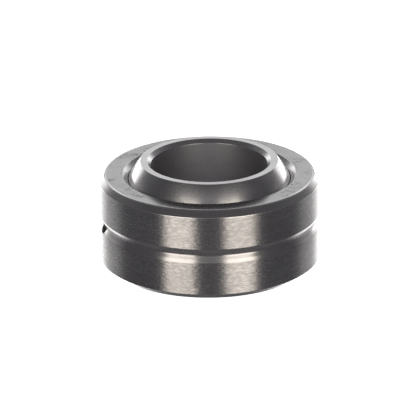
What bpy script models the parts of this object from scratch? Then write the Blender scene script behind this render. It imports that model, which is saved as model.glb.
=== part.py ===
"""Spherical plain bearing: a ball with a shaft bore that swivels in a one-piece outer race.

Metres, +Z up. The origin is the centre of the ball, +Z is the bore axis, and the bearing stands on
the ball's lower flat face. The race is the fixed piece. The ball tilts about the X axis through the
origin. Both pieces are turned: each is a closed section in the XZ plane, spun about Z.

A section is a list of (radius, height) points. It runs down the outer side, top to bottom, and back
up the inner side.
"""

import math

import bmesh
import bpy

# Ball: the inner ring that carries the shaft
BORE_DIAMETER = 0.0200
BORE_CHAMFER = 0.00065
BALL_FACE_LAND = 0.00123
BALL_WIDTH = 0.0203
BORE_GROOVE_WIDTH = 0.0030
BORE_GROOVE_DEPTH = 0.0006

# Race: the outer ring that is pressed into a housing
RACE_WALL = 0.003075
RACE_WIDTH = 0.0159
LEAD_IN_HEIGHT = 0.00104
LEAD_IN_DEPTH = 0.00105
MOUTH_CHAMFER = 0.00115
OUTER_GROOVE_WIDTH = 0.0026
OUTER_GROOVE_LIP_HEIGHT = 0.0006
OUTER_GROOVE_LIP_DEPTH = 0.00022
OUTER_GROOVE_DEPTH = 0.00056
OUTER_GROOVE_ROOT_RADIUS = 0.00015
INNER_GROOVE_WIDTH = 0.0030
INNER_GROOVE_DEPTH = 0.0005

# Lubrication holes: two in each piece, opposite each other on the X axis
OIL_HOLE_DIAMETER = 0.0025

# Running clearance between the ball's sphere and the race's spherical bore
RUNNING_CLEARANCE = 0.0003

# The flat-bottomed groove walls lean out by this much, so that a turning tool can leave them
GROOVE_WALL_LEAN = 0.00025

# The ball's sphere passes through the outer edges of its two flat faces
BALL_FACE_RADIUS = BORE_DIAMETER / 2.0 + BORE_CHAMFER + BALL_FACE_LAND
BALL_RADIUS = math.hypot(BALL_FACE_RADIUS, BALL_WIDTH / 2.0)

# The race is built outwards from the ball
RACE_BORE_RADIUS = BALL_RADIUS + RUNNING_CLEARANCE
RACE_RADIUS = RACE_BORE_RADIUS + RACE_WALL

# Fineness of the facets
STEPS_ROUND = 96
DEGREES_PER_ARC_STEP = 4.0
ROOT_ARC_STEPS = 2
OIL_HOLE_SIDES = 20
SHARP_EDGE_ANGLE = math.radians(20.0)
MERGE_DISTANCE = 0.00001

# How far a cutter runs past the piece that it cuts
CUTTER_OVERRUN = 0.0010

# Base colour, roughness and metallic value of the two steels
RACE_STEEL = ((0.30, 0.29, 0.28, 1.0), 0.30, 1.0)
BALL_STEEL = ((0.40, 0.40, 0.40, 1.0), 0.22, 1.0)


def clear_scene():
    """Remove every object that the scene already holds."""
    for old_object in list(bpy.data.objects):
        bpy.data.objects.remove(old_object, do_unlink=True)


def new_collection(name):
    """A new collection in the scene."""
    collection = bpy.data.collections.new(name)
    bpy.context.scene.collection.children.link(collection)
    return collection


def steel(name, finish):
    """A Principled material with the base colour, roughness and metallic value of a finish."""
    colour, roughness, metallic = finish
    material = bpy.data.materials.new(name)
    material.use_nodes = True
    shader = material.node_tree.nodes["Principled BSDF"]
    shader.inputs["Base Color"].default_value = colour
    shader.inputs["Roughness"].default_value = roughness
    shader.inputs["Metallic"].default_value = metallic
    material.diffuse_color = colour
    return material


def sphere_arc(sphere_radius, start_height, end_height):
    """Points along a sphere's meridian from one height to another, both ends included."""
    start = math.asin(start_height / sphere_radius)
    end = math.asin(end_height / sphere_radius)
    steps = max(1, math.ceil(math.degrees(abs(end - start)) / DEGREES_PER_ARC_STEP))
    angles = [start + (end - start) * step / steps for step in range(steps + 1)]
    return [(sphere_radius * math.cos(angle), sphere_radius * math.sin(angle)) for angle in angles]


def mirror_below(upper_points):
    """The mirror image of an upper half section, from the middle plane down."""
    return [(radius, -height) for radius, height in reversed(upper_points)]


def flat_groove_half(mouth_radius, floor_radius, width):
    """Upper half of a flat-bottomed ring groove in a bore: the edge of its mouth and of its floor."""
    return [
        (mouth_radius, width / 2.0),
        (floor_radius, width / 2.0 - GROOVE_WALL_LEAN),
    ]


def vee_groove_half():
    """Upper half of the V-groove round the race, from the edge of its mouth to just above its root.

    A shallow lip runs from the mouth's edge to its own inner edge, and a steeper wall runs from
    there to the root. The root is an arc whose centre lies on the middle plane, and the wall just
    touches that arc. wall_slope is the wall's angle from the radial direction, and the arc's points
    are the centre plus the root radius at angles from wall_slope up to a right angle.
    """
    half_width = OUTER_GROOVE_WIDTH / 2.0
    wall_height = half_width - OUTER_GROOVE_LIP_HEIGHT
    lip_radius = RACE_RADIUS - OUTER_GROOVE_LIP_DEPTH
    root = OUTER_GROOVE_ROOT_RADIUS
    centre_depth = OUTER_GROOVE_DEPTH - OUTER_GROOVE_LIP_DEPTH - root
    reach = math.hypot(wall_height, centre_depth)
    wall_slope = math.atan2(wall_height, centre_depth) - math.asin(root / reach)
    turn = math.pi / 2.0 - wall_slope
    angles = [wall_slope + turn * step / ROOT_ARC_STEPS for step in range(ROOT_ARC_STEPS)]
    centre_radius = lip_radius - centre_depth
    arc = [(centre_radius - root * math.sin(angle), root * math.cos(angle)) for angle in angles]
    return [(RACE_RADIUS, half_width), (lip_radius, wall_height)] + arc


def mouth_chamfer_depth(mouth_radius, face_height):
    """Depth at which the mouth's 45 degree chamfer meets the race's spherical bore.

    The chamfer's line is (mouth_radius - depth, face_height - depth). The meeting point lies at
    RACE_BORE_RADIUS from the origin, which gives a quadratic in the depth.
    """
    total = mouth_radius + face_height
    excess = mouth_radius ** 2 + face_height ** 2 - RACE_BORE_RADIUS ** 2
    return (total - math.sqrt(total ** 2 - 2.0 * excess)) / 2.0


def ball_section():
    """Closed section of the ball: sphere outside, grooved and chamfered bore inside."""
    face_height = BALL_WIDTH / 2.0
    bore_radius = BORE_DIAMETER / 2.0
    outside_half = sphere_arc(BALL_RADIUS, face_height, 0.0)
    outside = outside_half + mirror_below(outside_half[:-1])
    bore_half = [
        (bore_radius + BORE_CHAMFER, face_height),
        (bore_radius, face_height - BORE_CHAMFER),
    ]
    bore_half += flat_groove_half(bore_radius, bore_radius + BORE_GROOVE_DEPTH, BORE_GROOVE_WIDTH)
    bore = bore_half + mirror_below(bore_half)
    return outside + bore[::-1]


def race_section():
    """Closed section of the race: cylinder with a V-groove outside, spherical bore inside."""
    face_height = RACE_WIDTH / 2.0
    outside_half = [
        (RACE_RADIUS - LEAD_IN_DEPTH, face_height),
        (RACE_RADIUS, face_height - LEAD_IN_HEIGHT),
    ]
    outside_half += vee_groove_half()
    vee_root = [(RACE_RADIUS - OUTER_GROOVE_DEPTH, 0.0)]
    outside = outside_half + vee_root + mirror_below(outside_half)

    bore_at_face = math.sqrt(RACE_BORE_RADIUS ** 2 - face_height ** 2)
    mouth_radius = bore_at_face + MOUTH_CHAMFER
    chamfer_depth = mouth_chamfer_depth(mouth_radius, face_height)
    groove_mouth_radius = math.sqrt(RACE_BORE_RADIUS ** 2 - (INNER_GROOVE_WIDTH / 2.0) ** 2)
    groove_floor_radius = RACE_BORE_RADIUS + INNER_GROOVE_DEPTH
    inside_half = [(mouth_radius, face_height)]
    inside_half += sphere_arc(RACE_BORE_RADIUS, face_height - chamfer_depth, INNER_GROOVE_WIDTH / 2.0)
    inside_half += flat_groove_half(groove_mouth_radius, groove_floor_radius, INNER_GROOVE_WIDTH)[1:]
    inside = inside_half + mirror_below(inside_half)
    return outside + inside[::-1]


def turned_piece(name, section, collection):
    """A closed section in the XZ plane, spun a full turn about Z by a Screw modifier."""
    points = [(radius, 0.0, height) for radius, height in section]
    edges = [(index, (index + 1) % len(points)) for index in range(len(points))]
    mesh = bpy.data.meshes.new(name)
    mesh.from_pydata(points, edges, [])
    piece = bpy.data.objects.new(name, mesh)
    collection.objects.link(piece)
    spin = piece.modifiers.new("Spin about the bore axis", "SCREW")
    spin.axis = "Z"
    spin.angle = math.tau
    spin.steps = STEPS_ROUND
    spin.render_steps = STEPS_ROUND
    spin.use_merge_vertices = True
    spin.merge_threshold = MERGE_DISTANCE
    return piece


def oil_hole_drill(collection):
    """A cylinder along the X axis that reaches past the race on both sides.

    It is turned by half a side, so that none of its edges lies in the middle plane.
    """
    mesh = bpy.data.meshes.new("oil_hole_drill")
    cylinder = bmesh.new()
    bmesh.ops.create_cone(
        cylinder,
        cap_ends=True,
        segments=OIL_HOLE_SIDES,
        radius1=OIL_HOLE_DIAMETER / 2.0,
        radius2=OIL_HOLE_DIAMETER / 2.0,
        depth=2.0 * (RACE_RADIUS + CUTTER_OVERRUN),
    )
    cylinder.to_mesh(mesh)
    cylinder.free()
    drill = bpy.data.objects.new("oil_hole_drill", mesh)
    drill.rotation_mode = "ZYX"
    drill.rotation_euler = (0.0, math.pi / 2.0, math.pi / OIL_HOLE_SIDES)
    drill.display_type = "WIRE"
    drill.hide_render = True
    collection.objects.link(drill)
    return drill


def cut(piece, cutter):
    """Take a cutter's shape out of a piece."""
    boolean = piece.modifiers.new("Oil holes", "BOOLEAN")
    boolean.operation = "DIFFERENCE"
    boolean.solver = "EXACT"
    boolean.object = cutter


def finish_piece(piece, material):
    """Apply a piece's modifiers, shade it smooth between its sharp edges and give it its steel."""
    depsgraph = bpy.context.evaluated_depsgraph_get()
    shaped = bpy.data.meshes.new_from_object(piece.evaluated_get(depsgraph))
    shaped.name = piece.name
    piece.modifiers.clear()
    piece.data = shaped
    shaped.shade_smooth()
    shaped.set_sharp_from_angle(angle=SHARP_EDGE_ANGLE)
    shaped.materials.clear()
    shaped.materials.append(material)


def build_race(collection, drill):
    """The one-piece outer race with its two lubrication holes."""
    race = turned_piece("outer_race", race_section(), collection)
    cut(race, drill)
    finish_piece(race, steel("Race steel", RACE_STEEL))
    return race


def build_ball(collection, drill):
    """The ball with its two cross holes. Its origin lies on the tilt axis."""
    ball = turned_piece("ball", ball_section(), collection)
    cut(ball, drill)
    finish_piece(ball, steel("Ball steel", BALL_STEEL))
    return ball


def build_bearing():
    """Build the race and the ball, with the ball hung on an empty at the swivel's centre."""
    clear_scene()
    parts = new_collection("Spherical plain bearing")
    cutters = new_collection("Cutters")
    drill = oil_hole_drill(cutters)
    race = build_race(parts, drill)
    ball = build_ball(parts, drill)
    swivel = bpy.data.objects.new("ball_swivel_centre", None)
    swivel.empty_display_size = BALL_RADIUS
    parts.objects.link(swivel)
    swivel.parent = race
    ball.parent = swivel


build_bearing()
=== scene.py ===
"""Looks of a steel spherical plain bearing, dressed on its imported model.

The race and the ball are turned pieces. Each is worked out again as one fine closed surface of
revolution with rounded edges and drilled lubrication holes, and is finished zone by zone. The floor,
light and camera follow. Metres, +Z up.
"""

import logging
import math
from dataclasses import dataclass, field, replace
from enum import Enum
from typing import Any

import bpy
import numpy as np
from mathutils import Matrix, Vector


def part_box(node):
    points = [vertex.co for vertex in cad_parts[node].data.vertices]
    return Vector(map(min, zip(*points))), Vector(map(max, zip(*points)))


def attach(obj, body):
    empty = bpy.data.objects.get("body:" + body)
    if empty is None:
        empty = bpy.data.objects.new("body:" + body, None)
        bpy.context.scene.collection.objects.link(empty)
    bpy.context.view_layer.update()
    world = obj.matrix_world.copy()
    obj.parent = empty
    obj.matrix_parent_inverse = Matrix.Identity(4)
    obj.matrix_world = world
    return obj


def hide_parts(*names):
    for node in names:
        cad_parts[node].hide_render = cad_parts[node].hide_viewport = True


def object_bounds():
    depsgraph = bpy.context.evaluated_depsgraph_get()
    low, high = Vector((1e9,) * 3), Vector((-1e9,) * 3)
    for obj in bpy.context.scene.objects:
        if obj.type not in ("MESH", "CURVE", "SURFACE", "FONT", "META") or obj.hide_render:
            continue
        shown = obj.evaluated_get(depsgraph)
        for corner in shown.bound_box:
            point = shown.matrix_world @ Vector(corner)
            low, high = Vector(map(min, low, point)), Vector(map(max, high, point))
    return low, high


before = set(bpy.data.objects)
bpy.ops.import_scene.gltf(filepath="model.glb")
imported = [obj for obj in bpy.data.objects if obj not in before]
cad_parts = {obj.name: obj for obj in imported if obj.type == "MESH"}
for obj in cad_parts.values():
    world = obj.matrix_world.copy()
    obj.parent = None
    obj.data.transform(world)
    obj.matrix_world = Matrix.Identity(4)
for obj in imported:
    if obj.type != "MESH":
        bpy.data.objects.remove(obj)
CAD_BOX = [[float(value) for value in corner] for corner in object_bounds()]

Colour = tuple[float, float, float]
Range = tuple[float, float]
Value = bpy.types.NodeSocket | float | tuple[float, ...]

LOG = logging.getLogger("bearing")
MAP_NAME = "turned"
MM = 0.001
MICRON = 0.000001
WHITE: Colour = (1.0, 1.0, 1.0)
WARM: Colour = (1.0, 0.93, 0.85)

# The gap all round the ball in its race, and the gap under the bearing
RUNNING_CLEARANCE = 0.08 * MM
FLOOR_GAP = 0.02 * MM

# The angle from which an edge is sharp, and the largest share of a side that a narrow row takes
SHARP_EDGE = math.radians(32.0)
WIDEST_SUPPORT = 0.25

# Fineness of the marks in waves a metre, and the fineness of their bands beside theirs
MARKS_AROUND = 45.0
CHATTER_AROUND = 1400.0
CHATTER_ACROSS = 5000.0
BANDS_TO_MARKS = 0.12

# Fineness of the wear's patterns beside its clouds, and how its scratches lie and stretch
FIELDS_TO_CLOUDS = 2.3
SPECKS_TO_CLOUDS = 6.0
SCRATCH_TURN = (0.4, 0.9, 0.6)
SCRATCH_STRETCH = (0.5, 3.0, 1.4)

# Values of a pattern between which an effect rises or fades
MARKS_RISE: Range = (0.25, 0.75)
CLOUDS_RISE: Range = (0.3, 0.7)
SCRATCHED_RISE: Range = (0.50, 0.60)
SPECKED_RISE: Range = (0.50, 0.62)
SPECK_FADE: Range = (0.10, 0.22)
SCRATCH_FADE: Range = (0.0, 0.08)


class Zone(Enum):
    """The separately finished zones of the two pieces."""

    RACE_FACE = "race_face"
    LEAD_IN = "race_lead_in"
    GROUND = "race_ground_outside"
    VEE = "race_vee_groove"
    MOUTH = "race_mouth"
    RACEWAY = "race_raceway"
    RACE_EDGE = "race_edge"
    BALL_FACE = "ball_face"
    SPHERE = "ball_sphere"
    BORE = "ball_bore"
    BORE_CHAMFER = "ball_bore_chamfer"
    BALL_EDGE = "ball_edge"
    OIL_WAY = "oil_way"


def rotated(vector: np.ndarray, angle: np.ndarray | float) -> np.ndarray:
    """Turn a 2D vector anticlockwise by one angle or by each of several.

    Args:
        vector: the vector, shape (2,).
        angle: angle or angles in radians.

    Returns:
        The turned vectors, shape (2,) for one angle or (n, 2) for n.
    """
    cos, sin = np.cos(angle), np.sin(angle)
    return np.stack([cos * vector[0] - sin * vector[1], sin * vector[0] + cos * vector[1]], axis=-1)


@dataclass(frozen=True)
class Side:
    """One side of a turned section, from its own corner to the corner of the next side.

    Attributes:
        radius: the corner's distance from the bore axis.
        height: the corner's height above the middle plane.
        zone: the finish of the side.
        rows: how many rows of faces the side has.
        rounding: radius of the round edge at the corner, or 0 for a sharp one.
        edge_zone: the finish of that round edge.
        sphere: radius of the sphere round the origin that the side follows, or 0 if it is straight.
    """

    radius: float
    height: float
    zone: Zone
    rows: int = 4
    rounding: float = 0.0
    edge_zone: Zone = Zone.RACE_EDGE
    sphere: float = 0.0

    @property
    def corner(self) -> np.ndarray:
        """The corner as a (radius, height) pair."""
        return np.array([self.radius, self.height])

    def heading(self, at: np.ndarray, end: np.ndarray) -> np.ndarray:
        """Unit direction of travel along the side at one of its two ends.

        Args:
            at: the end where the direction is wanted.
            end: the corner of the next side.

        Returns:
            Along the chord for a straight side, and square to the radius from the origin for a
            spherical one.
        """
        chord = end - self.corner
        if not self.sphere:
            return chord / np.linalg.norm(chord)
        tangent = rotated(at / np.linalg.norm(at), math.pi / 2)
        return tangent * np.sign(tangent @ chord)

    def run(self, start: np.ndarray, end: np.ndarray, support: float) -> np.ndarray:
        """Points along the side between its two round edges, both ends included.

        A straight side is start plus a share of the way to end. A spherical side turns the
        direction from the origin evenly from the start's to the end's. The first and last rows are
        narrow, so that a round edge's shading doesn't spread over the side.

        Args:
            start: where the round edge at the side's corner ends.
            end: where the round edge at the next corner begins.
            support: width of the first and last rows.

        Returns:
            Points, shape (rows + 1, 2).
        """
        inner = min(support / np.linalg.norm(end - start), WIDEST_SUPPORT)
        share = np.concatenate([[0.0], np.linspace(inner, 1.0 - inner, self.rows - 1), [1.0]])
        if not self.sphere:
            return start + share[:, None] * (end - start)
        first, last = (math.atan2(point[1], point[0]) for point in (start, end))
        turn = first + share * (last - first)
        return self.sphere * np.stack([np.cos(turn), np.sin(turn)], axis=1)


def with_other_half(half: list[Side], face: Side, middle: tuple[Side, ...] = ()) -> list[Side]:
    """Sides from one face of a ring to its middle plane, and their like from there to the other face.

    A mirrored corner keeps its rounding. The side that starts there is the like of the one that
    ends at the first half's corner, so it takes that one's zone, rows and sphere.

    Args:
        half: the sides of the first half. The last one ends at the middle corner or at the mirrored
            place of its own corner.
        face: a side with the zone and rows of the face that follows the other half.
        middle: the side that starts at a corner on the middle plane, if there is one.

    Returns:
        The sides, in order.
    """
    other = [
        replace(side, height=-side.height, zone=like.zone, rows=like.rows, sphere=like.sphere)
        for side, like in zip(half[::-1], half[-2::-1] + [face])
    ]
    return [*half, *middle, *other]


@dataclass(frozen=True)
class Section:
    """A closed section made of sides with rounded corners.

    Attributes:
        sides: the sides, down the outer side and up the inner side.
        edge_rows: rows of faces on each round edge.
        support: width of the narrow rows beside the round edges.
    """

    sides: tuple[Side, ...]
    edge_rows: int = 5
    support: float = 0.04 * MM

    def round_edge(self, index: int) -> np.ndarray:
        """Points of the round edge at a side's corner.

        The edge is an arc that touches the side before and the side after. It starts before the
        corner by the rounding times the tangent of half the turn. Each point is the arc's centre
        less the normal of length rounding, turned from the first side's to the second's.

        Args:
            index: which side's corner.

        Returns:
            Points, shape (edge_rows + 1, 2), or (1, 2) at a sharp corner.
        """
        before, side = self.sides[index - 1], self.sides[index]
        after = self.sides[(index + 1) % len(self.sides)]
        corner = side.corner
        if not side.rounding:
            return corner[None, :]
        arriving = before.heading(corner, corner)
        leaving = side.heading(corner, after.corner)
        cross = arriving[0] * leaving[1] - arriving[1] * leaving[0]
        turn = math.atan2(cross, float(arriving @ leaving))
        first = corner - arriving * side.rounding * math.tan(abs(turn) / 2)
        normal = rotated(arriving, math.copysign(math.pi / 2, turn)) * side.rounding
        return first + normal - rotated(normal, np.linspace(0.0, turn, self.edge_rows + 1))

    def sampled(self) -> tuple[np.ndarray, np.ndarray]:
        """The whole section as points, with the zone of the face row that starts at each.

        Returns:
            Points, shape (n, 2), and zones, shape (n,) of Zone.
        """
        edges = [self.round_edge(index) for index in range(len(self.sides))]
        points, zones = [], []
        for side, edge, following in zip(self.sides, edges, edges[1:] + edges[:1]):
            run = side.run(edge[-1], following[0], self.support)
            points += [edge[:-1], run[:-1]]
            zones += [side.edge_zone] * (len(edge) - 1) + [side.zone] * (len(run) - 1)
        return np.concatenate(points), np.array(zones)


@dataclass
class Surface:
    """A closed mesh in the making.

    Attributes:
        points: arrays of points, shape (n, 3) each.
        faces: arrays of vertex numbers, shape (n, 3) or (n, 4) each.
        maps: arrays of map coordinates, one pair per corner of each face.
        zones: arrays of the faces' zones, shape (n,) each.
    """

    points: list[np.ndarray] = field(default_factory=list)
    faces: list[np.ndarray] = field(default_factory=list)
    maps: list[np.ndarray] = field(default_factory=list)
    zones: list[np.ndarray] = field(default_factory=list)

    def add_points(self, points: np.ndarray) -> np.ndarray:
        """Append points and give their vertex numbers.

        Args:
            points: the points, shape (n, 3).

        Returns:
            Vertex numbers, shape (n,).
        """
        start = sum(len(group) for group in self.points)
        self.points.append(points)
        return start + np.arange(len(points))

    def add_faces(self, faces: np.ndarray, maps: np.ndarray, zones: np.ndarray) -> None:
        """Append faces with their map coordinates and zones.

        Args:
            faces: vertex numbers, shape (n, 3) or (n, 4).
            maps: map coordinates of the faces' corners, shape (n, 3, 2) or (n, 4, 2).
            zones: the faces' zones, shape (n,).
        """
        self.faces.append(faces)
        self.maps.append(maps.reshape(-1, 2))
        self.zones.append(zones)

    def piece(self, name: str, library: dict[Zone, bpy.types.Material]) -> bpy.types.Object:
        """Make the mesh object, smooth between its sharp edges, with a material for each zone.

        Args:
            name: the object's name.
            library: the materials. The piece takes those of its own zones.

        Returns:
            The object, at the origin, linked to the scene.
        """
        mesh = bpy.data.meshes.new(name)
        faces = [face for group in self.faces for face in group.tolist()]
        mesh.from_pydata(np.concatenate(self.points).tolist(), [], faces)
        layer = mesh.uv_layers.new(name=MAP_NAME)
        layer.uv.foreach_set("vector", np.concatenate(self.maps).astype(np.float32).ravel())
        zones = np.concatenate(self.zones)
        used = set(zones)
        slots = {zone: number for number, zone in enumerate(zone for zone in Zone if zone in used)}
        numbers = np.array([slots[zone] for zone in zones], dtype=np.int32)
        for zone in slots:
            mesh.materials.append(library[zone])
        mesh.polygons.foreach_set("material_index", numbers)
        mesh.shade_smooth()
        mesh.set_sharp_from_angle(angle=SHARP_EDGE)
        mesh.update()
        piece = bpy.data.objects.new(name, mesh)
        bpy.context.scene.collection.objects.link(piece)
        return piece


@dataclass(frozen=True)
class Patch:
    """A rectangle of a turned surface's grid that is opened for one end of a hole.

    Attributes:
        first: its first row of points.
        last: its last row of points.
        across: how many columns it reaches to each side of the hole.
        turn: the column that the hole's axis passes through.
    """

    first: int
    last: int
    across: int
    turn: int


def stitched(rim_angles: np.ndarray, edge_angles: np.ndarray) -> np.ndarray:
    """Triangles between two rings round one centre, an outer rim and an inner edge.

    The rings are walked together in order of angle. Each step moves on along one of them, and its
    triangle is that step and the point where the walk stands on the other.

    Args:
        rim_angles: angles of the rim's points, rising from 0 to a full turn.
        edge_angles: angles of the edge's points, rising from 0 to a full turn.

    Returns:
        Anticlockwise triangles, shape (n, 3), that number the rim's points first and then the
        edge's.
    """
    order = np.argsort(np.concatenate([rim_angles, edge_angles]), kind="stable")
    on_rim = order < len(rim_angles)
    rim_after, edge_after = np.cumsum(on_rim) - 1, np.cumsum(~on_rim) - 1
    rim_before = (rim_after - 1) % len(rim_angles)
    edge_before = (edge_after - 1) % len(edge_angles)
    rim_after %= len(rim_angles)
    edge_after %= len(edge_angles)
    start = len(rim_angles)
    along_rim = np.stack([rim_before, rim_after, start + edge_after], axis=1)
    along_edge = np.stack([rim_after, start + edge_after, start + edge_before], axis=1)
    return np.where(on_rim[:, None], along_rim, along_edge)


@dataclass
class Turning:
    """A surface of revolution round Z, with a round hole through it along X on each side.

    The surface is a grid of section points against angles: a point is (radius times the angle's
    cosine, radius times its sine, height). Its map runs along the section first and round Z second,
    so a shader's tangent lies across the marks that turning and grinding leave.

    Attributes:
        section: the closed section.
        hole_radius: radius of the two holes on the X axis.
        columns: how many steps the surface takes round Z.
        hole_sides: how many sides the holes have.
        hole_margin: least distance from a hole to the border of the patch that holds it.
        profile: the section's points, shape (rows, 2).
        row_zones: the zone of each row of faces, shape (rows,).
        along: the way to each point as a share of the way round the section, shape (rows + 1,).
    """

    section: Section
    hole_radius: float
    columns: int = 384
    hole_sides: int = 48
    hole_margin: float = 0.04 * MM
    profile: np.ndarray = field(init=False)
    row_zones: np.ndarray = field(init=False)
    along: np.ndarray = field(init=False)

    def __post_init__(self) -> None:
        """Sample the section and measure the way along it."""
        self.profile, self.row_zones = self.section.sampled()
        steps = np.linalg.norm(np.roll(self.profile, -1, axis=0) - self.profile, axis=1)
        self.along = np.concatenate([[0.0], np.cumsum(steps)]) / steps.sum()

    def grid_points(self) -> np.ndarray:
        """All points of the grid, row by row, shape (rows times columns, 3)."""
        angle = np.arange(self.columns) * (math.tau / self.columns)
        radius, height = self.profile[:, :1], self.profile[:, 1:]
        grid = [radius * np.cos(angle), radius * np.sin(angle), height + 0.0 * angle]
        return np.stack(grid, axis=-1).reshape(-1, 3)

    def patch(self, outer: bool, turn: int) -> Patch:
        """The rectangle round one end of a hole.

        The rows before the section's lowest point lie on its outer side, and the rest on its inner
        side. Of those, the patch takes the rows that the hole reaches and one more at each end.

        Args:
            outer: True for the hole's outer end.
            turn: the column that the hole's axis passes through.

        Returns:
            The patch.
        """
        reach = self.hole_radius + self.hole_margin
        radius, height = self.profile.T
        on_outer_side = np.arange(len(height)) < np.argmin(height)
        rows = np.flatnonzero((np.abs(height) < reach) & (on_outer_side == outer))
        first, last = int(rows[0]) - 1, int(rows[-1]) + 1
        narrowest = radius[first:last + 1].min()
        across = math.ceil(math.asin(reach / narrowest) * self.columns / math.tau)
        return Patch(first, last, across, turn)

    def grid_faces(self, patches: list[Patch]) -> tuple[np.ndarray, np.ndarray, np.ndarray]:
        """The grid's faces outside the patches.

        Args:
            patches: the rectangles that stay open.

        Returns:
            Faces, shape (n, 4), their map coordinates, shape (n, 4, 2), and their zones.
        """
        rows = len(self.profile)
        kept = np.ones((rows, self.columns), dtype=bool)
        for patch in patches:
            opened = (patch.turn + np.arange(-patch.across, patch.across)) % self.columns
            kept[patch.first:patch.last, opened] = False
        row, column = np.nonzero(kept)
        next_row, next_column = (row + 1) % rows, (column + 1) % self.columns
        faces = np.stack([
            row * self.columns + column,
            next_row * self.columns + column,
            next_row * self.columns + next_column,
            row * self.columns + next_column,
        ], axis=1)
        start, end = self.along[row], self.along[row + 1]
        along = np.stack([start, end, end, start], axis=1)
        around = np.stack([column, column, column + 1, column + 1], axis=1) / self.columns
        return faces, np.stack([along, around], axis=-1), self.row_zones[row]

    def rim(self, patch: Patch) -> tuple[np.ndarray, np.ndarray, np.ndarray]:
        """A patch's border, in order of its angle round the hole's axis.

        Seen along the hole from outside, a point lies at (radius times the sine of its column's
        angle from the hole, height).

        Args:
            patch: the patch.

        Returns:
            Vertex numbers, angles and map coordinates.
        """
        rows, steps = np.meshgrid(
            np.arange(patch.first, patch.last + 1),
            np.arange(-patch.across, patch.across + 1),
            indexing="ij",
        )
        border = (rows == patch.first) | (rows == patch.last) | (np.abs(steps) == patch.across)
        rows, steps = rows[border], steps[border]
        radius, height = self.profile[rows].T
        angle = np.arctan2(height, radius * np.sin(steps * math.tau / self.columns)) % math.tau
        order = np.argsort(angle)
        rows, columns = rows[order], patch.turn + steps[order]
        maps = np.stack([self.along[rows], columns / self.columns], axis=1)
        return rows * self.columns + columns % self.columns, angle[order], maps

    def hole_edge(self, patch: Patch) -> tuple[np.ndarray, np.ndarray, np.ndarray]:
        """The hole's edge on the surface, in order of its angle round the hole's axis.

        Seen along the hole, the edge is a circle. The section gives the surface's radius at each
        point's height, and the way out along X is the root of that radius squared less the
        sideways distance squared.

        Args:
            patch: the patch that holds the edge.

        Returns:
            Points, angles and map coordinates.
        """
        angle = (np.arange(self.hole_sides) + 0.5) * (math.tau / self.hole_sides)
        sideways, height = self.hole_radius * np.cos(angle), self.hole_radius * np.sin(angle)
        rows = np.arange(patch.first, patch.last + 1)
        rows = rows[np.argsort(self.profile[rows, 1])]
        radius = np.interp(height, self.profile[rows, 1], self.profile[rows, 0])
        along = np.interp(height, self.profile[rows, 1], self.along[rows])
        outward = np.sqrt(radius ** 2 - sideways ** 2)
        turn = patch.turn / self.columns
        facing = math.cos(turn * math.tau)
        points = np.stack([facing * outward, facing * sideways, height], axis=1)
        around = turn + np.arcsin(sideways / radius) / math.tau
        return points, angle, np.stack([along, around], axis=1)

    def close_patch(self, surface: Surface, patch: Patch, outer: bool) -> np.ndarray:
        """Fill a patch up to the hole's edge.

        Args:
            surface: the mesh in the making, which already holds the grid's points.
            patch: the patch.
            outer: True on the section's outer side, False on its inner side, which faces the axis.

        Returns:
            Vertex numbers of the hole's edge.
        """
        rim, rim_angles, rim_map = self.rim(patch)
        points, edge_angles, edge_map = self.hole_edge(patch)
        edge = surface.add_points(points)
        corners = stitched(rim_angles, edge_angles)
        if not outer:
            corners = corners[:, ::-1]
        zone = self.row_zones[(patch.first + patch.last) // 2]
        numbers, maps = np.concatenate([rim, edge]), np.concatenate([rim_map, edge_map])
        surface.add_faces(numbers[corners], maps[corners], np.full(len(corners), zone))
        return edge

    def drill(self, surface: Surface, patches: list[Patch]) -> None:
        """Fill one hole's two patches and join its edges by its wall.

        Args:
            surface: the mesh in the making.
            patches: the hole's outer and inner patch.
        """
        outer, inner = (
            self.close_patch(surface, patch, side) for patch, side in zip(patches, (True, False))
        )
        wall = np.stack([outer, np.roll(outer, -1), np.roll(inner, -1), inner], axis=1)
        start = np.arange(self.hole_sides) / self.hole_sides
        end = start + 1 / self.hole_sides
        around = np.stack([start, end, end, start], axis=1)
        depth = np.broadcast_to([0.0, 0.0, 1.0, 1.0], around.shape)
        maps = np.stack([depth, around], axis=-1)
        surface.add_faces(wall, maps, np.full(len(wall), Zone.OIL_WAY))

    def surface(self) -> Surface:
        """The closed surface with both holes."""
        holes = [
            [self.patch(outer, turn) for outer in (True, False)]
            for turn in (0, self.columns // 2)
        ]
        surface = Surface()
        surface.add_points(self.grid_points())
        surface.add_faces(*self.grid_faces(holes[0] + holes[1]))
        for patches in holes:
            self.drill(surface, patches)
        return surface


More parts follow.
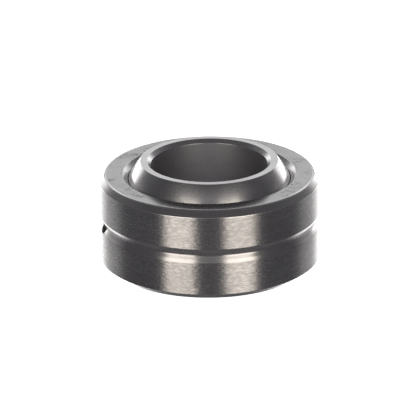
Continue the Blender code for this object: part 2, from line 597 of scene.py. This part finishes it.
class Graph:
    """A node tree with short ways to add nodes and join them."""

    def __init__(self, tree: bpy.types.NodeTree) -> None:
        """Take over a tree and empty it."""
        self.tree = tree
        tree.nodes.clear()

    def add(self, kind: str, inputs: dict[int | str, Value] | None = None, **settings: Any) -> Any:
        """Add a node.

        Args:
            kind: the node's type.
            inputs: what goes into its inputs, by name or number: an output to join, or a value.
            settings: the node's own settings.

        Returns:
            The node.
        """
        node = self.tree.nodes.new(kind)
        for name, value in settings.items():
            setattr(node, name, value)
        for name, value in (inputs or {}).items():
            if isinstance(value, bpy.types.NodeSocket):
                self.tree.links.new(value, node.inputs[name])
            else:
                node.inputs[name].default_value = value
        return node

    def math(self, operation: str, *values: Value) -> bpy.types.NodeSocket:
        """Add a Math node and give its result."""
        return self.add("ShaderNodeMath", dict(enumerate(values)), operation=operation).outputs[0]

    def ramp(self, value: Value, low: float, high: float, start: float = 0.0,
             end: float = 1.0) -> bpy.types.NodeSocket:
        """Carry a value from one range to another, and hold it at the ends.

        Args:
            value: what is carried.
            low: value that becomes start.
            high: value that becomes end.
            start: result at low.
            end: result at high.

        Returns:
            The result.
        """
        limits = {"Value": value, "From Min": low, "From Max": high, "To Min": start, "To Max": end}
        return self.add("ShaderNodeMapRange", limits, clamp=True).outputs[0]

    def blend(self, share: Value, first: Value, second: Value) -> bpy.types.NodeSocket:
        """Mix two colours by a share and give the result."""
        inputs = {0: share, 6: first, 7: second}
        return self.add("ShaderNodeMix", inputs, data_type="RGBA").outputs[2]


def new_effect(name: str, inputs: dict[str, str],
               outputs: list[str]) -> tuple[Graph, bpy.types.Node, bpy.types.Node]:
    """Start a shader node group.

    Args:
        name: the group's name.
        inputs: the type of socket for each named input.
        outputs: names of its outputs, which are all numbers.

    Returns:
        The group's graph, its input node and its output node.
    """
    tree = bpy.data.node_groups.new(name, "ShaderNodeTree")
    graph = Graph(tree)
    for label, kind in inputs.items():
        tree.interface.new_socket(name=label, in_out="INPUT", socket_type=kind)
    for label in outputs:
        tree.interface.new_socket(name=label, in_out="OUTPUT", socket_type="NodeSocketFloat")
    return graph, graph.add("NodeGroupInput"), graph.add("NodeGroupOutput")


def turning_marks() -> bpy.types.NodeTree:
    """The fine rings that a tool or a stone leaves round the Z axis.

    The noise reads x and y at a coarse scale, so that a ring changes slowly on its way round, and
    the height and the distance from the axis at a fine one, so that neighbouring rings differ on
    walls and faces alike.

    Returns:
        The group. Height is the rings' relief and Bands is a wider unevenness, both from 0 to 1.
    """
    number = "NodeSocketFloat"
    graph, given, result = new_effect(
        "Turning marks",
        {"Vector": "NodeSocketVector", "Across": number, "Around": number},
        ["Height", "Bands"],
    )
    vector, across, around = given.outputs[:3]
    x, y, z = graph.add("ShaderNodeSeparateXYZ", {0: vector}).outputs
    flat = graph.add("ShaderNodeCombineXYZ", {0: x, 1: y}).outputs[0]
    radius = graph.add("ShaderNodeVectorMath", {0: flat}, operation="LENGTH").outputs["Value"]
    for label, share, detail in (("Height", 1.0, 3.0), ("Bands", BANDS_TO_MARKS, 2.0)):
        scale = graph.math("MULTIPLY", across, share)
        place = graph.add("ShaderNodeCombineXYZ", {
            0: graph.math("MULTIPLY", x, around),
            1: graph.math("MULTIPLY", y, around),
            2: graph.math("MULTIPLY", z, scale),
        }).outputs[0]
        depth = graph.math("MULTIPLY", radius, scale)
        noise = graph.add(
            "ShaderNodeTexNoise",
            {"Vector": place, "W": depth, "Scale": 1.0, "Detail": detail},
            noise_dimensions="4D",
        )
        graph.tree.links.new(graph.ramp(noise.outputs[0], *MARKS_RISE), result.inputs[label])
    return graph.tree


def handling_wear() -> bpy.types.NodeTree:
    """What storage and handling leave on steel: clouds of dullness, specks and hair scratches.

    Specks are the middles of cells, and scratches the borders of stretched and bent cells. Both
    show only where a wide noise is high.

    Returns:
        The group. Clouds, Specks and Scratches run from 0 to 1.
    """
    graph, given, result = new_effect(
        "Handling wear",
        {"Vector": "NodeSocketVector", "Scale": "NodeSocketFloat"},
        ["Clouds", "Specks", "Scratches"],
    )
    vector, scale = given.outputs[:2]
    place = graph.add("ShaderNodeVectorMath", {0: vector, "Scale": scale}, operation="SCALE").outputs[0]
    clouds = graph.add("ShaderNodeTexNoise", {"Vector": place, "Scale": 1.0, "Detail": 4.0})
    fields = graph.add("ShaderNodeTexNoise", {"Vector": place, "Scale": FIELDS_TO_CLOUDS, "Detail": 2.0})
    spots = graph.add("ShaderNodeTexVoronoi", {"Vector": place, "Scale": SPECKS_TO_CLOUDS})
    bends = {0: place, 1: fields.outputs[1]}
    bent = graph.add("ShaderNodeVectorMath", bends, operation="ADD").outputs[0]
    turned = {"Vector": bent, "Rotation": SCRATCH_TURN, "Scale": SCRATCH_STRETCH}
    long = graph.add("ShaderNodeMapping", turned).outputs[0]
    hairs = graph.add("ShaderNodeTexVoronoi", {"Vector": long, "Scale": 1.0}, feature="DISTANCE_TO_EDGE")
    speck = graph.ramp(spots.outputs[0], *SPECK_FADE, 1.0, 0.0)
    specked = graph.ramp(fields.outputs[0], *SPECKED_RISE)
    scratch = graph.ramp(hairs.outputs[0], *SCRATCH_FADE, 1.0, 0.0)
    scratched = graph.ramp(clouds.outputs[0], *SCRATCHED_RISE)
    effects = {
        "Clouds": graph.ramp(clouds.outputs[0], *CLOUDS_RISE),
        "Specks": graph.math("MULTIPLY", speck, specked),
        "Scratches": graph.math("MULTIPLY", scratch, scratched),
    }
    for label, value in effects.items():
        graph.tree.links.new(value, result.inputs[label])
    return graph.tree


@dataclass(frozen=True)
class Finish:
    """One finish of the steel.

    Attributes:
        tint: colour of the clean metal.
        shade: colour of its duller patches.
        roughness: roughness of the clean metal.
        anisotropy: how far its reflections stretch across the marks, from 0 to 1.
        pitch: distance between neighbouring marks.
        depth: depth of the marks.
        dulling: how much rougher the duller patches are.
        clouding: how strongly the shade shows in the patches.
        banding: how strongly the shade shows in the marks' bands.
        wear: how strongly specks and scratches show.
        wear_scale: fineness of that wear.
        chatter: depth of the short waves that a grinding wheel leaves, or 0 for none.
        grain: how strongly the shade shows in those waves.
    """

    tint: Colour
    shade: Colour
    roughness: float
    anisotropy: float = 0.0
    pitch: float = 0.12 * MM
    depth: float = 0.4 * MICRON
    dulling: float = 0.06
    clouding: float = 0.25
    banding: float = 0.25
    wear: float = 0.3
    wear_scale: float = 160.0
    chatter: float = 0.0
    grain: float = 0.0

    def waves(self, graph: Graph, place: Value,
              marks: bpy.types.NodeTree) -> tuple[Value, dict[str, Value]]:
        """The short waves of the ground surface.

        Args:
            graph: the material's node tree.
            place: the point's object coordinates.
            marks: the group of the turning marks.

        Returns:
            The waves' share of the shade, and their normal as the input that a bump node builds on.
            They are 0 and nothing where there are no waves.
        """
        if not self.chatter:
            return 0.0, {}
        fineness = {"Vector": place, "Across": CHATTER_ACROSS, "Around": CHATTER_AROUND}
        rings = graph.add("ShaderNodeGroup", fineness, node_tree=marks)
        relief = {"Height": rings.outputs["Height"], "Strength": 1.0, "Distance": self.chatter}
        shade = graph.math("MULTIPLY", rings.outputs["Height"], self.grain)
        return shade, {"Normal": graph.add("ShaderNodeBump", relief).outputs[0]}

    def material(self, name: str, marks: bpy.types.NodeTree,
                 wear: bpy.types.NodeTree) -> bpy.types.Material:
        """Build the finish's material.

        Args:
            name: the material's name.
            marks: the group of the turning marks.
            wear: the group of the handling wear.

        Returns:
            The material.
        """
        material = bpy.data.materials.new(name)
        material.use_nodes = True
        material.diffuse_color = (*self.tint, 1.0)
        graph = Graph(material.node_tree)
        place = graph.add("ShaderNodeTexCoord").outputs["Object"]
        fineness = {"Vector": place, "Across": 1.0 / self.pitch, "Around": MARKS_AROUND}
        rings = graph.add("ShaderNodeGroup", fineness, node_tree=marks)
        traces = graph.add("ShaderNodeGroup", {"Vector": place, "Scale": self.wear_scale}, node_tree=wear)
        grain, waviness = self.waves(graph, place, marks)
        clouded = graph.math("MULTIPLY_ADD", traces.outputs["Clouds"], self.clouding, grain)
        banded = graph.math("MULTIPLY", rings.outputs["Bands"], self.banding)
        dulled = graph.math("ADD", clouded, banded)
        marked = graph.math("ADD", traces.outputs["Specks"], traces.outputs["Scratches"])
        worn = graph.math("MULTIPLY", marked, self.wear)
        metal = graph.blend(dulled, (*self.tint, 1.0), (*self.shade, 1.0))
        colour = graph.blend(worn, metal, (*self.shade, 1.0))
        dullness = graph.math("ADD", dulled, worn)
        roughness = graph.math("MULTIPLY_ADD", dullness, self.dulling, self.roughness)
        relief = graph.math("SUBTRACT", rings.outputs["Height"], worn)
        marked_relief = {"Height": relief, "Strength": 1.0, "Distance": self.depth}
        bump = graph.add("ShaderNodeBump", marked_relief | waviness)
        tangent = graph.add("ShaderNodeTangent", direction_type="UV_MAP", uv_map=MAP_NAME)
        shader = graph.add("ShaderNodeBsdfPrincipled", {
            "Base Color": colour,
            "Metallic": 1.0,
            "Roughness": roughness,
            "Anisotropic": self.anisotropy,
            "Tangent": tangent.outputs[0],
            "Normal": bump.outputs[0],
        })
        graph.add("ShaderNodeOutputMaterial", {"Surface": shader.outputs[0]})
        return material


FINISHES: dict[Zone, Finish] = {
    Zone.RACE_FACE: Finish(
        (0.48, 0.475, 0.47), (0.16, 0.155, 0.15), 0.13, 0.5, clouding=0.15, banding=0.15, wear=1.0,
        wear_scale=300.0,
    ),
    Zone.LEAD_IN: Finish((0.56, 0.55, 0.54), (0.36, 0.35, 0.34), 0.24, 0.4, clouding=0.6),
    Zone.GROUND: Finish(
        (0.74, 0.725, 0.71), (0.42, 0.41, 0.40), 0.24, 0.9, chatter=13.0 * MICRON, grain=1.0,
    ),
    Zone.VEE: Finish((0.56, 0.545, 0.535), (0.41, 0.40, 0.39), 0.20, 0.6),
    Zone.MOUTH: Finish((0.64, 0.63, 0.63), (0.40, 0.39, 0.39), 0.22, 0.4, clouding=0.6),
    Zone.RACEWAY: Finish((0.30, 0.30, 0.30), (0.22, 0.22, 0.22), 0.32, 0.5),
    Zone.RACE_EDGE: Finish((0.72, 0.71, 0.70), (0.56, 0.55, 0.54), 0.16),
    Zone.BALL_FACE: Finish((0.68, 0.67, 0.67), (0.54, 0.53, 0.53), 0.16, 0.5),
    Zone.SPHERE: Finish(
        (0.60, 0.59, 0.585), (0.36, 0.35, 0.345), 0.18, 0.3, dulling=0.16, clouding=0.5, wear=0.5,
    ),
    Zone.BORE: Finish((0.455, 0.45, 0.465), (0.36, 0.355, 0.37), 0.50, 0.4),
    Zone.BORE_CHAMFER: Finish((0.62, 0.61, 0.61), (0.48, 0.47, 0.47), 0.22, 0.3),
    Zone.BALL_EDGE: Finish((0.70, 0.69, 0.69), (0.56, 0.55, 0.55), 0.22),
    Zone.OIL_WAY: Finish((0.45, 0.44, 0.43), (0.30, 0.29, 0.28), 0.42),
}


@dataclass
class Ball:
    """The inner ring: a sphere with two flat faces and a grooved, chamfered shaft bore.

    Attributes:
        radius: radius of the sphere.
        half_width: height of the upper face.
        bore_radius: radius of the shaft bore.
        bore_chamfer: width and depth of the bore's chamfers.
        groove_width: width of the lubrication groove in the bore, at its mouth.
        groove_depth: depth of that groove.
        groove_lean: how far each of the groove's walls leans out.
        hole_radius: radius of the cross holes.
        face_rounding: rounding of the edge between the sphere and a face.
        chamfer_rounding: rounding of the edges of the bore chamfers.
        sphere_rows: rows of faces down the sphere.
    """

    radius: float
    half_width: float
    bore_radius: float = 10.0 * MM
    bore_chamfer: float = 0.65 * MM
    groove_width: float = 3.0 * MM
    groove_depth: float = 0.6 * MM
    groove_lean: float = 0.25 * MM
    hole_radius: float = 1.25 * MM
    face_rounding: float = 0.10 * MM
    chamfer_rounding: float = 0.08 * MM
    sphere_rows: int = 90

    @property
    def face_radius(self) -> float:
        """Radius at which the sphere meets a face."""
        return math.sqrt(self.radius ** 2 - self.half_width ** 2)

    def bore(self) -> list[Side]:
        """Sides of the lower half of the bore, from the face's inner edge to the groove's floor."""
        bore, bottom, mouth = self.bore_radius, -self.half_width, self.groove_width / 2.0
        soft, edge = self.chamfer_rounding, Zone.BALL_EDGE
        return [
            Side(bore + self.bore_chamfer, bottom, Zone.BORE_CHAMFER, 3, soft, edge),
            Side(bore, bottom + self.bore_chamfer, Zone.BORE, 6, soft, edge),
            Side(bore, -mouth, Zone.BORE, 3, soft, edge),
            Side(bore + self.groove_depth, self.groove_lean - mouth, Zone.BORE, 10, soft, edge),
        ]

    def section(self) -> Section:
        """The ball's closed section."""
        at, top, rows, soft = self.face_radius, self.half_width, self.sphere_rows, self.face_rounding
        sphere = Side(at, top, Zone.SPHERE, rows, soft, Zone.BALL_EDGE, self.radius)
        face = Side(at, top, Zone.BALL_FACE)
        return Section((*with_other_half([sphere], face), *with_other_half(self.bore(), face)))

    def build(self, library: dict[Zone, bpy.types.Material]) -> bpy.types.Object:
        """Build the ball's shell over its solid.

        Args:
            library: the materials.

        Returns:
            The piece.
        """
        shell = Turning(self.section(), self.hole_radius).surface().piece("ball_shell", library)
        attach(shell, "ball")
        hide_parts("ball")
        return shell


@dataclass
class Race:
    """The outer ring: a ground cylinder with a V-groove outside and a spherical bore inside.

    Attributes:
        radius: outside radius.
        half_width: height of the upper face.
        bore_radius: radius of the spherical bore.
        lead_in_height: height of the long chamfer at each end of the cylinder.
        lead_in_depth: depth of that chamfer.
        face_dish: how far a face falls from its rim to its mouth.
        mouth_chamfer: width of the chamfer between a face and the bore.
        vee_width: width of the V-groove at its mouth.
        vee_depth: depth of the V-groove.
        lip_height: height of the shallow bevel along each edge of the V-groove.
        lip_depth: depth of that bevel.
        vee_root: radius of the V-groove's root.
        groove_width: width of the lubrication groove in the bore, at its mouth.
        groove_depth: depth of that groove.
        groove_lean: how far each of the groove's walls leans out.
        hole_radius: radius of the lubrication holes.
        face_rounding: rounding between a face and the lead-in chamfer.
        shoulder_rounding: rounding between the lead-in chamfer and the cylinder.
        vee_rounding: rounding of the V-groove's mouth.
        line_rounding: rounding of the line between a lip and the wall below it.
        mouth_rounding: rounding between a face and the mouth chamfer.
        bore_rounding: rounding of the edges in the bore.
        seat_rows: rows of faces on each half of the spherical bore.
    """

    radius: float
    half_width: float
    bore_radius: float
    lead_in_height: float = 1.04 * MM
    lead_in_depth: float = 1.05 * MM
    face_dish: float = 0.10 * MM
    mouth_chamfer: float = 1.40 * MM
    vee_width: float = 2.46 * MM
    vee_depth: float = 0.50 * MM
    lip_height: float = 0.54 * MM
    lip_depth: float = 0.20 * MM
    vee_root: float = 0.45 * MM
    groove_width: float = 3.0 * MM
    groove_depth: float = 0.5 * MM
    groove_lean: float = 0.25 * MM
    hole_radius: float = 1.25 * MM
    face_rounding: float = 0.60 * MM
    shoulder_rounding: float = 0.15 * MM
    vee_rounding: float = 0.45 * MM
    line_rounding: float = 0.60 * MM
    mouth_rounding: float = 0.14 * MM
    bore_rounding: float = 0.06 * MM
    seat_rows: int = 20

    @property
    def vee_apex(self) -> float:
        """Radius at which the V-groove's two walls would meet if its root were sharp.

        A wall's angle from the radial direction is that of the line from the lip's inner edge to
        the root arc's centre, less the angle by which the wall just clears the arc.
        """
        half = self.vee_width / 2.0 - self.lip_height
        centre_depth = self.vee_depth - self.lip_depth - self.vee_root
        clear = math.asin(self.vee_root / math.hypot(half, centre_depth))
        slope = math.atan2(half, centre_depth) - clear
        return self.radius - self.lip_depth - half / math.tan(slope)

    @property
    def mouth_radius(self) -> float:
        """Radius of the mouth chamfer's edge on the face."""
        return math.sqrt(self.bore_radius ** 2 - self.half_width ** 2) + self.mouth_chamfer

    @property
    def mouth_height(self) -> float:
        """Height of the mouth chamfer's edge on the face."""
        return self.half_width - self.face_dish

    @property
    def mouth_depth(self) -> float:
        """Depth below its edge at which the 45 degree mouth chamfer meets the spherical bore.

        A point on the chamfer is (mouth radius less depth, mouth height less depth), and it lies on
        the bore's sphere where a quadratic in the depth is 0.
        """
        total = self.mouth_radius + self.mouth_height
        excess = self.mouth_radius ** 2 + self.mouth_height ** 2 - self.bore_radius ** 2
        return (total - math.sqrt(total ** 2 - 2.0 * excess)) / 2.0

    def outside(self) -> list[Side]:
        """Sides of the upper half of the outside, from the face's edge to the V-groove's wall."""
        shoulder = self.half_width - self.lead_in_height
        mouth, vee = self.vee_width / 2.0, Zone.VEE
        return [
            Side(self.radius - self.lead_in_depth, self.half_width, Zone.LEAD_IN, 4, self.face_rounding),
            Side(self.radius, shoulder, Zone.GROUND, 6, self.shoulder_rounding),
            Side(self.radius, mouth, vee, 4, self.vee_rounding, vee),
            Side(self.radius - self.lip_depth, mouth - self.lip_height, vee, 5, self.line_rounding, vee),
        ]

    def inside(self) -> list[Side]:
        """Sides of the lower half of the inside, from the mouth chamfer to the groove's floor."""
        seat_radius = self.mouth_radius - self.mouth_depth
        seat_height = self.mouth_height - self.mouth_depth
        mouth = self.groove_width / 2.0
        brink = math.sqrt(self.bore_radius ** 2 - mouth ** 2)
        floor = self.bore_radius + self.groove_depth
        soft, way = self.bore_rounding, Zone.RACEWAY
        return [
            Side(self.mouth_radius, -self.mouth_height, Zone.MOUTH, 4, self.mouth_rounding),
            Side(seat_radius, -seat_height, way, self.seat_rows, soft, way, self.bore_radius),
            Side(brink, -mouth, way, 3, soft, way),
            Side(floor, self.groove_lean - mouth, way, 10, soft, way),
        ]

    def section(self) -> Section:
        """The race's closed section."""
        root = Side(self.vee_apex, 0.0, Zone.VEE, 5, self.vee_root, Zone.VEE)
        face = Side(self.mouth_radius, self.mouth_height, Zone.RACE_FACE, 6)
        outside = with_other_half(self.outside(), face, (root,))
        return Section((*outside, *with_other_half(self.inside(), face)))

    def build(self, library: dict[Zone, bpy.types.Material]) -> bpy.types.Object:
        """Build the race's shell over its solid.

        Args:
            library: the materials.

        Returns:
            The piece.
        """
        shell = Turning(self.section(), self.hole_radius).surface().piece("race_shell", library)
        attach(shell, "race")
        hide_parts("outer_race")
        return shell


@dataclass(frozen=True)
class Softbox:
    """A soft-edged bright panel of the studio, as the bearing sees it. All angles are in degrees.

    Attributes:
        azimuth: its middle, 0 on the camera's side and growing to the camera's right.
        width: how far it spans sideways, between the middles of its edges.
        low: elevation of its lower edge.
        high: elevation of its upper edge.
        radiance: its brightness, where 1 shows as white.
        side_blur: width of its left and right edges.
        low_blur: width of its lower edge.
        high_blur: width of its upper edge.
        colour: its colour.
    """

    azimuth: float
    width: float
    low: float
    high: float
    radiance: float
    side_blur: float = 4.0
    low_blur: float = 10.0
    high_blur: float = 10.0
    colour: Colour = WHITE

    def mirrored(self) -> tuple["Softbox", "Softbox"]:
        """The panel's like on the other side of the camera, and the panel."""
        return replace(self, azimuth=-self.azimuth), self

    def glow(self, graph: Graph, azimuth: Value, elevation: Value) -> bpy.types.NodeSocket:
        """The panel's brightness in each direction.

        It is the radiance times three ramps, over the distance in azimuth from the middle, over the
        lower edge and over the upper edge.

        Args:
            graph: the surroundings' node tree.
            azimuth: azimuth of the direction.
            elevation: elevation of the direction.

        Returns:
            The brightness.
        """
        turned = graph.math("WRAP", graph.math("SUBTRACT", azimuth, self.azimuth), 180.0, -180.0)
        sides, half = self.side_blur / 2.0, self.width / 2.0
        across = graph.ramp(graph.math("ABSOLUTE", turned), half - sides, half + sides, self.radiance, 0.0)
        rise, fall = self.low_blur / 2.0, self.high_blur / 2.0
        above = graph.ramp(elevation, self.low - rise, self.low + rise)
        below = graph.ramp(elevation, self.high - fall, self.high + fall, 1.0, 0.0)
        return graph.math("MULTIPLY", across, graph.math("MULTIPLY", above, below))


@dataclass
class Studio:
    """The pale floor, the soft light and the camera.

    Attributes:
        azimuth: how far the camera stands round to the right of straight ahead, in degrees.
        elevation: how far the camera looks down, in degrees.
        distance: from the camera to the point that it looks at.
        lens: focal length in millimetres.
        sensor: width of the sensor in millimetres.
        nearest: the least distance that the camera sees.
        aim_left: how far left of the bearing's centre the camera looks.
        aim_up: how far above the bearing's centre it looks, in the camera's plane.
        roll: how far the camera is turned about its own axis, in radians.
        floor_size: side of the square floor.
        floor_tint: the floor's colour.
        floor_roughness: the floor's roughness.
        floor_glow: the floor's own light, where 1 shows as white.
        ambient: light that comes from everywhere.
        softboxes: the panels.
    """

    azimuth: float = -14.5
    elevation: float = 21.45
    distance: float = 503.2 * MM
    lens: float = 252.8
    sensor: float = 36.0
    nearest: float = 10.0 * MM
    aim_left: float = 0.354 * MM
    aim_up: float = 1.28 * MM
    roll: float = -0.0097
    floor_size: float = 4.0
    floor_tint: Colour = (0.85, 0.85, 0.85)
    floor_roughness: float = 0.9
    floor_glow: float = 1.0
    ambient: Colour = (0.10, 0.097, 0.107)
    softboxes: tuple[Softbox, ...] = (
        # The tall panels in front, which show as the stripes down the race
        Softbox(-31.3, 30.6, -30.0, 35.7, 1.62, 3.0, 8.0, 6.5, WARM),
        Softbox(31.3, 30.6, -30.0, 35.7, 1.7, 3.0, 8.0, 6.5, WARM),
        # More light on their upper halves and between them, for the groove and the ball's front
        *Softbox(32.0, 36.0, 4.0, 29.0, 0.45, 6.0, 14.0, 14.0, WARM).mirrored(),
        Softbox(0.0, 44.0, 8.0, 30.0, 0.14, 8.0, 8.0, 8.0),
        Softbox(0.0, 130.0, 34.0, 46.0, 0.25, 30.0, 10.0, 20.0),
        # A faint glow from below
        Softbox(0.0, 360.0, -100.0, -45.0, 0.05, 4.0, 4.0, 20.0),
        # The backdrop, which shows along the outlines: brighter to its middle and at its borders
        Softbox(180.0, 124.0, -46.0, 3.0, 0.38, 28.0, 10.0, 6.0),
        Softbox(180.0, 74.0, -46.0, 3.0, 1.0, 20.0, 10.0, 6.0),
        Softbox(180.0, 54.0, -46.0, 3.0, 0.5, 6.0, 10.0, 6.0),
        Softbox(180.0, 90.0, -10.0, 3.0, 0.9, 16.0, 10.0, 6.0),
        Softbox(180.0, 116.0, -43.0, -32.0, 0.9, 10.0, 6.0, 6.0),
        # The panel above it that the flat faces mirror, and the glow round that panel
        Softbox(180.0, 66.0, 14.0, 28.0, 0.62, 20.0, 4.0, 8.0),
        Softbox(180.0, 120.0, 0.0, 50.0, 0.15, 50.0, 20.0, 30.0),
        # Side strips for the chamfers of the bore and the mouth, and high ones for round edges
        *Softbox(143.5, 22.0, -4.0, 14.0, 1.7, 6.0, 6.0, 8.0).mirrored(),
        *Softbox(120.0, 34.0, -6.0, 13.0, 0.22, 14.0, 8.0, 8.0).mirrored(),
        *Softbox(158.0, 26.0, 28.0, 40.0, 1.0, 10.0, 6.0, 8.0).mirrored(),
    )

    def camera(self) -> None:
        """Place the camera in front of the bearing and make it the scene's own."""
        tilt = math.radians(90.0 - self.elevation)
        turn = Matrix.Rotation(tilt, 4, "X")
        lens = bpy.data.cameras.new("camera")
        lens.lens = self.lens
        lens.sensor_width = self.sensor
        lens.clip_start = self.nearest
        eye = bpy.data.objects.new("camera", lens)
        aim = turn @ Vector((-self.aim_left, self.aim_up, self.distance))
        ahead = Matrix.Translation(aim) @ turn @ Matrix.Rotation(self.roll, 4, "Z")
        eye.matrix_world = Matrix.Rotation(math.radians(self.azimuth), 4, "Z") @ ahead
        bpy.context.scene.collection.objects.link(eye)
        bpy.context.scene.camera = eye

    def floor(self, height: float) -> None:
        """Lay the floor that the bearing stands on. The metal doesn't reflect it.

        Args:
            height: the floor's height.
        """
        half = self.floor_size / 2.0
        mesh = bpy.data.meshes.new("floor")
        corners = ((-half, -half), (half, -half), (half, half), (-half, half))
        mesh.from_pydata([(*corner, height) for corner in corners], [], [(0, 1, 2, 3)])
        floor = bpy.data.objects.new("floor", mesh)
        material = bpy.data.materials.new("floor_white")
        material.use_nodes = True
        shader = material.node_tree.nodes["Principled BSDF"]
        looks = {
            "Base Color": (*self.floor_tint, 1.0),
            "Roughness": self.floor_roughness,
            "Emission Color": (*WHITE, 1.0),
            "Emission Strength": self.floor_glow,
        }
        for name, value in looks.items():
            shader.inputs[name].default_value = value
        mesh.materials.append(material)
        floor.visible_glossy = False
        bpy.context.scene.collection.objects.link(floor)

    def surroundings(self) -> None:
        """Set up the light that the metal sees, and plain white past the floor for the camera."""
        world = bpy.data.worlds.new("studio")
        world.use_nodes = True
        graph = Graph(world.node_tree)
        way = graph.add("ShaderNodeTexCoord").outputs["Generated"]
        x, y, z = graph.add("ShaderNodeSeparateXYZ", {0: way}).outputs
        turn = graph.math("DEGREES", graph.math("ARCTAN2", x, graph.math("MULTIPLY", y, -1.0)))
        azimuth = graph.math("SUBTRACT", turn, self.azimuth)
        elevation = graph.math("DEGREES", graph.math("ARCSINE", z))
        light = graph.add("ShaderNodeCombineXYZ", dict(enumerate(self.ambient))).outputs[0]
        for softbox in self.softboxes:
            layers = {0: softbox.glow(graph, azimuth, elevation), 1: softbox.colour, 2: light}
            light = graph.add("ShaderNodeVectorMath", layers, operation="MULTIPLY_ADD").outputs[0]
        seen = graph.add("ShaderNodeLightPath").outputs["Is Camera Ray"]
        colour = graph.blend(seen, light, (*WHITE, 1.0))
        background = graph.add("ShaderNodeBackground", {"Color": colour})
        graph.add("ShaderNodeOutputWorld", {"Surface": background.outputs[0]})
        bpy.context.scene.world = world

    def build(self) -> None:
        """Set up the camera, the floor and the light."""
        bpy.context.scene.view_settings.view_transform = "Standard"
        self.camera()
        self.floor(CAD_BOX[0][2] - FLOOR_GAP)
        self.surroundings()


def report(piece: bpy.types.Object) -> None:
    """Log a finished piece and the size of its mesh."""
    mesh = piece.data
    triangles = sum(len(face.vertices) - 2 for face in mesh.polygons)
    LOG.info("%s: %d points, %d triangles", piece.name, len(mesh.vertices), triangles)


def main() -> None:
    """Build the two pieces and the studio."""
    marks, wear = turning_marks(), handling_wear()
    library = {zone: finish.material(zone.value, marks, wear) for zone, finish in FINISHES.items()}
    ball_corner, race_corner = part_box("ball")[1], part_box("outer_race")[1]
    ball = Ball(radius=ball_corner[0], half_width=ball_corner[2])
    bore_radius = ball.radius + RUNNING_CLEARANCE
    race = Race(radius=race_corner[0], half_width=race_corner[2], bore_radius=bore_radius)
    for part in (race, ball):
        report(part.build(library))
    Studio().build()


if __name__ == "__main__":
    logging.basicConfig(level=logging.INFO, format="%(name)s: %(message)s")
    main()
